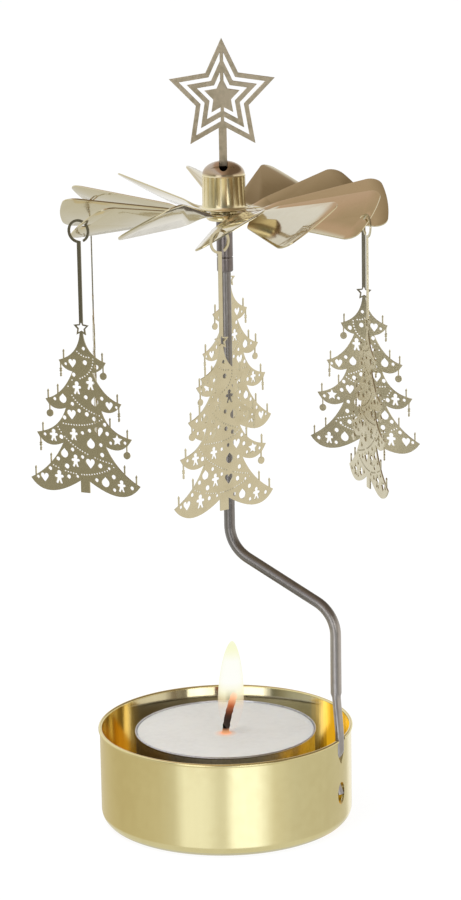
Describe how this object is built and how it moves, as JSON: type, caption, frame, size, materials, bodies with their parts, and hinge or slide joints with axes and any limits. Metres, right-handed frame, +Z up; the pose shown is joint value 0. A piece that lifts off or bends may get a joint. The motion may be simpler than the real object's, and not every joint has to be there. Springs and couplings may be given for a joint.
{
  "type": "candle carousel",
  "caption": "Brass candle carousel: a pitched-blade rotor with a star and hanging tree charms turns on a needle above a tealight cup.",
  "frame": {"origin": "centre of the cup's underside, on the surface that it stands on", "axes": "+Z up along the post and the rotor's axis, -Y towards the camera, +X towards the post's leg"},
  "size_m": [0.0806, 0.083, 0.1651],
  "materials": {
    "cup_brass": "polished",
    "post_steel": "satin",
    "sleeve_steel": "satin dark",
    "blade_brass": "bright rolled sheet",
    "hub_brass": "polished",
    "etched_brass": "etched sheet",
    "tealight_aluminium": "thin drawn foil",
    "candle_wax": "waxy",
    "wick_char": "charred"
  },
  "bodies": {
    "stand": {"cup": "cup_brass", "post": "post_steel", "needle_sleeve": "sleeve_steel", "needle": "post_steel"},
    "rotor": {"rotor_blades": "blade_brass", "hub_cap": "hub_brass", "hub_eyelet": "hub_brass", "bearing_insert": "sleeve_steel", "star": "etched_brass"},
    "charm_1": {"charm_1": "etched_brass"},
    "charm_2": {"charm_2": "etched_brass"},
    "charm_3": {"charm_3": "etched_brass"},
    "charm_4": {"charm_4": "etched_brass"},
    "charm_5": {"charm_5": "etched_brass"},
    "charm_6": {"charm_6": "etched_brass"},
    "tealight": {"tealight_cup": "tealight_aluminium", "tealight_wax": "candle_wax", "wick_foot": "tealight_aluminium", "wick": "wick_char"}
  },
  "joints": [
    {"name": "rotor_spin", "type": "hinge", "parent": "stand", "child": "rotor", "pos_m": [0.00162, -0.00077, 0.13], "axis": [0, 0, 1], "continuous": true},
    {"name": "charm_1_swing", "type": "hinge", "parent": "rotor", "child": "charm_1", "pos_m": [0.00066, -0.03372, 0.13011], "axis": [-0.9995, -0.0332, 0], "range_deg": [-10, 20]},
    {"name": "charm_2_swing", "type": "hinge", "parent": "rotor", "child": "charm_2", "pos_m": [0.02987, -0.01804, 0.13011], "axis": [-0.471, -0.8821, 0], "range_deg": [-10, 20]},
    {"name": "charm_3_swing", "type": "hinge", "parent": "rotor", "child": "charm_3", "pos_m": [0.03061, 0.01479, 0.13011], "axis": [0.5284, -0.849, 0], "range_deg": [-10, 20]},
    {"name": "charm_4_swing", "type": "hinge", "parent": "rotor", "child": "charm_4", "pos_m": [0.00245, 0.03233, 0.13011], "axis": [0.9995, 0.0332, 0], "range_deg": [-10, 20]},
    {"name": "charm_5_swing", "type": "hinge", "parent": "rotor", "child": "charm_5", "pos_m": [-0.02627, 0.01654, 0.12963], "axis": [0.471, 0.8821, 0], "range_deg": [-10, 20]},
    {"name": "charm_6_swing", "type": "hinge", "parent": "rotor", "child": "charm_6", "pos_m": [-0.02734, -0.01631, 0.12971], "axis": [-0.5284, 0.849, 0], "range_deg": [-10, 20]},
    {"name": "tealight_lift", "type": "slide", "parent": "stand", "child": "tealight", "axis": [0, 0, 1], "range_m": [0, 0.024]}
  ]
}
